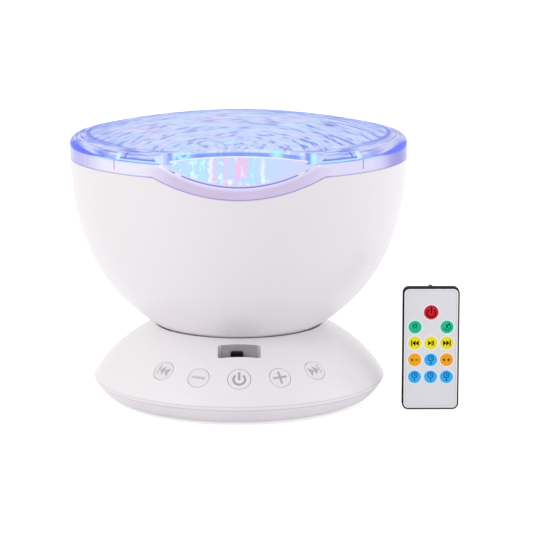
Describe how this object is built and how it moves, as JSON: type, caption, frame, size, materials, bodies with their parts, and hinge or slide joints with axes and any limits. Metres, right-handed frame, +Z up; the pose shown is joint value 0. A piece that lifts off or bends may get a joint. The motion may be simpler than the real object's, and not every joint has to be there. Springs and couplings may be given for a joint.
{
  "type": "ripple light projector with remote",
  "caption": "Bowl-shaped lamp head with a rippled clear lens that leans back in a round base with push buttons and a speaker, and a slim standing remote.",
  "frame": {"origin": "centre of the base at table height, where the rubber feet stand", "axes": "+Z up, lamp front with its buttons towards -Y, remote on the +X side"},
  "size_m": [0.1721, 0.15, 0.1279],
  "materials": {
    "white_shell": "smooth satin moulded ABS",
    "ring_plastic": "milky translucent moulded plastic",
    "lens_plastic": "clear moulded acrylic with a wavy surface",
    "smoke_plastic": "smoky infrared-clear plastic",
    "rubber": "matt soft rubber",
    "steel": "plated steel",
    "magnet": "sintered ferrite",
    "speaker_paper": "pressed cone",
    "acetal": "moulded acetal",
    "circuit_board": "glass-fibre laminate with green mask",
    "inner_plastic": "moulded ABS, as moulded",
    "black_plastic": "fine matt moulded plastic",
    "led_lens": "clear epoxy",
    "remote_face": "satin printed film",
    "key_red": "satin printed film",
    "key_green": "satin printed film",
    "key_yellow": "satin printed film",
    "key_orange": "satin printed film",
    "key_blue": "satin printed film"
  },
  "bodies": {
    "base": {"base_shell": "white_shell", "base_cover": "white_shell", "rubber_feet": "rubber", "case_screws": "steel", "seat_ring": "rubber", "tilt_post": "steel", "tilt_saddle": "acetal", "disc_springs": "steel", "tilt_nut": "steel", "speaker_frame": "steel", "speaker_cone": "speaker_paper", "speaker_magnet": "magnet", "main_board": "circuit_board", "board_screws": "steel", "button_bracket": "inner_plastic", "button_switches": "black_plastic", "ir_window": "smoke_plastic", "ir_receiver": "black_plastic", "socket_bay": "white_shell", "audio_jack": "black_plastic", "usb_socket": "steel"},
    "head": {"bowl_shell": "white_shell", "rim_ring": "ring_plastic", "wave_lens": "lens_plastic", "front_window": "lens_plastic", "chassis": "inner_plastic", "head_screws": "steel", "led_board": "circuit_board", "leds": "led_lens", "reflector": "inner_plastic", "gear_motor": "steel"},
    "rotor": {"motor_shaft": "steel", "disc_hub": "acetal", "wave_disc": "lens_plastic"},
    "remote": {"remote_case": "black_plastic", "remote_face": "remote_face", "remote_board": "circuit_board", "remote_led": "led_lens"},
    "tray": {"battery_tray": "black_plastic", "battery": "steel"},
    "button_previous": {"button_previous": "white_shell"},
    "button_minus": {"button_minus": "white_shell"},
    "button_power": {"button_power": "white_shell"},
    "button_plus": {"button_plus": "white_shell"},
    "button_next": {"button_next": "white_shell"},
    "key_clock_one": {"key_clock_one": "key_blue"},
    "key_clock_two": {"key_clock_two": "key_blue"},
    "key_clock_four": {"key_clock_four": "key_blue"},
    "key_minus": {"key_minus": "key_orange"},
    "key_clock_off": {"key_clock_off": "key_blue"},
    "key_plus": {"key_plus": "key_orange"},
    "key_previous": {"key_previous": "key_yellow"},
    "key_play": {"key_play": "key_yellow"},
    "key_next": {"key_next": "key_yellow"},
    "key_light": {"key_light": "key_green"},
    "key_sound": {"key_sound": "key_green"},
    "key_power": {"key_power": "key_red"}
  },
  "joints": [
    {"name": "head_tilt", "type": "hinge", "parent": "base", "child": "head", "pos_m": [0, 0, 0.0973], "axis": [-1, 0, 0], "range_deg": [0, 25]},
    {"name": "wave_disc_spin", "type": "hinge", "parent": "head", "child": "rotor", "pos_m": [0, 0, 0.099], "axis": [0, 0, 1], "continuous": true},
    {"name": "button_previous_press", "type": "slide", "parent": "base", "child": "button_previous", "axis": [0.3998, 0.5585, -0.7268], "range_m": [0, 0.0004], "stiffness_N_per_m": 800, "springref_m": -0.0005},
    {"name": "button_minus_press", "type": "slide", "parent": "base", "child": "button_minus", "axis": [0.216, 0.6728, -0.7076], "range_m": [0, 0.0004], "stiffness_N_per_m": 800, "springref_m": -0.0005},
    {"name": "button_power_press", "type": "slide", "parent": "base", "child": "button_power", "axis": [0, 0.7066, -0.7076], "range_m": [0, 0.0004], "stiffness_N_per_m": 800, "springref_m": -0.0005},
    {"name": "button_plus_press", "type": "slide", "parent": "base", "child": "button_plus", "axis": [-0.216, 0.6728, -0.7076], "range_m": [0, 0.0004], "stiffness_N_per_m": 800, "springref_m": -0.0005},
    {"name": "button_next_press", "type": "slide", "parent": "base", "child": "button_next", "axis": [-0.3998, 0.5585, -0.7268], "range_m": [0, 0.0004], "stiffness_N_per_m": 800, "springref_m": -0.0005},
    {"name": "remote_lift", "type": "slide", "parent": "base", "child": "remote", "axis": [0, 0, 1], "range_m": [0, 0.06]},
    {"name": "battery_tray_slide", "type": "slide", "parent": "remote", "child": "tray", "axis": [1, 0, 0], "range_m": [0, 0.018]},
    {"name": "key_clock_one_press", "type": "slide", "parent": "remote", "child": "key_clock_one", "axis": [0, 1, 0], "range_m": [0, 0.00025], "stiffness_N_per_m": 600, "springref_m": -0.0004},
    {"name": "key_clock_two_press", "type": "slide", "parent": "remote", "child": "key_clock_two", "axis": [0, 1, 0], "range_m": [0, 0.00025], "stiffness_N_per_m": 600, "springref_m": -0.0004},
    {"name": "key_clock_four_press", "type": "slide", "parent": "remote", "child": "key_clock_four", "axis": [0, 1, 0], "range_m": [0, 0.00025], "stiffness_N_per_m": 600, "springref_m": -0.0004},
    {"name": "key_minus_press", "type": "slide", "parent": "remote", "child": "key_minus", "axis": [0, 1, 0], "range_m": [0, 0.00025], "stiffness_N_per_m": 600, "springref_m": -0.0004},
    {"name": "key_clock_off_press", "type": "slide", "parent": "remote", "child": "key_clock_off", "axis": [0, 1, 0], "range_m": [0, 0.00025], "stiffness_N_per_m": 600, "springref_m": -0.0004},
    {"name": "key_plus_press", "type": "slide", "parent": "remote", "child": "key_plus", "axis": [0, 1, 0], "range_m": [0, 0.00025], "stiffness_N_per_m": 600, "springref_m": -0.0004},
    {"name": "key_previous_press", "type": "slide", "parent": "remote", "child": "key_previous", "axis": [0, 1, 0], "range_m": [0, 0.00025], "stiffness_N_per_m": 600, "springref_m": -0.0004},
    {"name": "key_play_press", "type": "slide", "parent": "remote", "child": "key_play", "axis": [0, 1, 0], "range_m": [0, 0.00025], "stiffness_N_per_m": 600, "springref_m": -0.0004},
    {"name": "key_next_press", "type": "slide", "parent": "remote", "child": "key_next", "axis": [0, 1, 0], "range_m": [0, 0.00025], "stiffness_N_per_m": 600, "springref_m": -0.0004},
    {"name": "key_light_press", "type": "slide", "parent": "remote", "child": "key_light", "axis": [0, 1, 0], "range_m": [0, 0.00025], "stiffness_N_per_m": 600, "springref_m": -0.0004},
    {"name": "key_sound_press", "type": "slide", "parent": "remote", "child": "key_sound", "axis": [0, 1, 0], "range_m": [0, 0.00025], "stiffness_N_per_m": 600, "springref_m": -0.0004},
    {"name": "key_power_press", "type": "slide", "parent": "remote", "child": "key_power", "axis": [0, 1, 0], "range_m": [0, 0.00025], "stiffness_N_per_m": 600, "springref_m": -0.0004}
  ]
}
